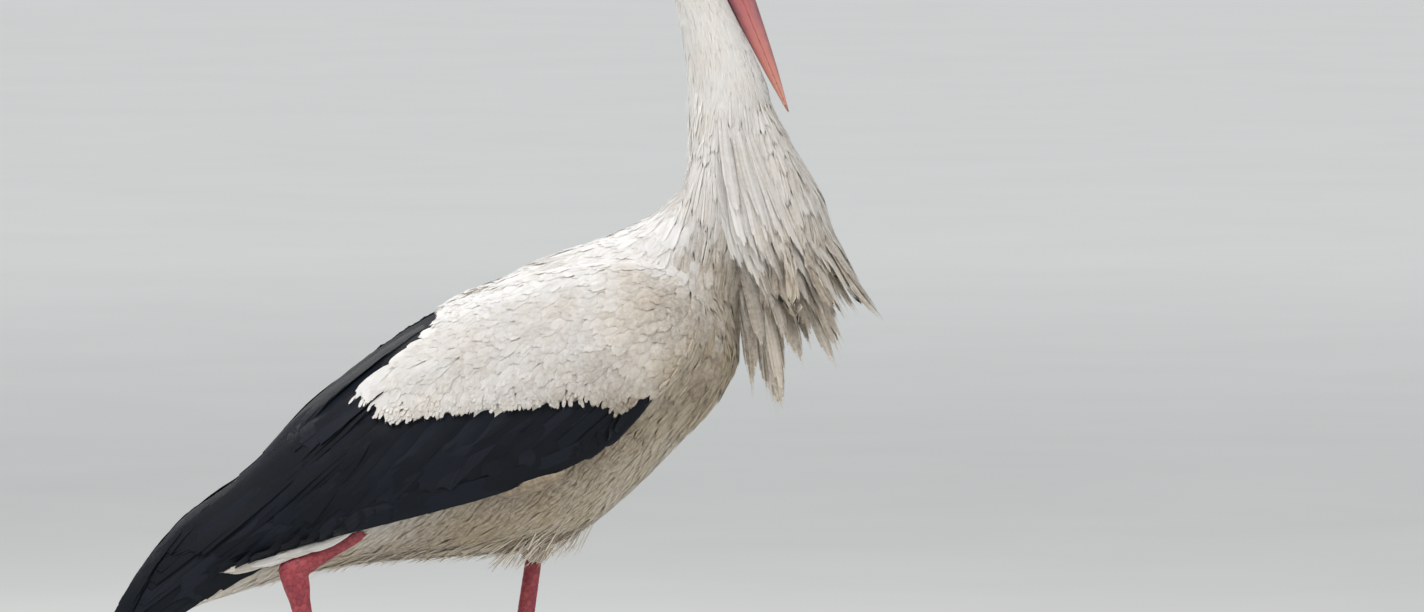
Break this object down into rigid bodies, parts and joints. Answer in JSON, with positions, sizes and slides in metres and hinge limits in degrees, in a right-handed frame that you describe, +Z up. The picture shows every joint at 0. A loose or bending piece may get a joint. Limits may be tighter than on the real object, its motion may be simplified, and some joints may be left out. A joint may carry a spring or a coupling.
{
  "type": "white stork",
  "caption": "White stork standing in mid-stride with a leg lifted, its long red bill bowed over fluffed breast plumes, with black flight feathers and red legs.",
  "frame": {"origin": "on the floor, in the middle of the flat sole of the left foot, the one the bird stands on, below its toe joint", "axes": "+X the way the bird faces, +Y to its left, +Z up"},
  "size_m": [0.6544, 0.1944, 0.9459],
  "materials": {
    "white_plumage": "soft, matt off-white feathers",
    "black_plumage": "sleek black feathers with a faint blue sheen",
    "bill": "smooth satin horn",
    "leg_skin": "dull scaled skin",
    "claw": "satin horn",
    "eye": "wet gloss"
  },
  "bodies": {
    "root": {"trunk": "white_plumage", "neck_lower": "white_plumage", "neck_upper": "white_plumage", "breast_plumes": "white_plumage", "head": "white_plumage", "eye_left": "eye", "eye_right": "eye", "bill_upper": "bill", "bill_lower": "bill", "wing_left_coverts": "white_plumage", "wing_left_secondaries": "black_plumage", "wing_left_primaries": "black_plumage", "wing_right_coverts": "white_plumage", "wing_right_secondaries": "black_plumage", "wing_right_primaries": "black_plumage", "tail": "white_plumage", "leg_left_thigh": "white_plumage", "leg_left_shank": "leg_skin", "leg_left_tarsus": "leg_skin", "foot_left": "leg_skin", "claw_left_inner": "claw", "claw_left_middle": "claw", "claw_left_outer": "claw", "claw_left_hind": "claw", "leg_right_shank": "leg_skin", "leg_right_tarsus": "leg_skin", "foot_right": "leg_skin", "claw_right_inner": "claw", "claw_right_middle": "claw", "claw_right_outer": "claw", "claw_right_hind": "claw"}
  },
  "joints": []
}
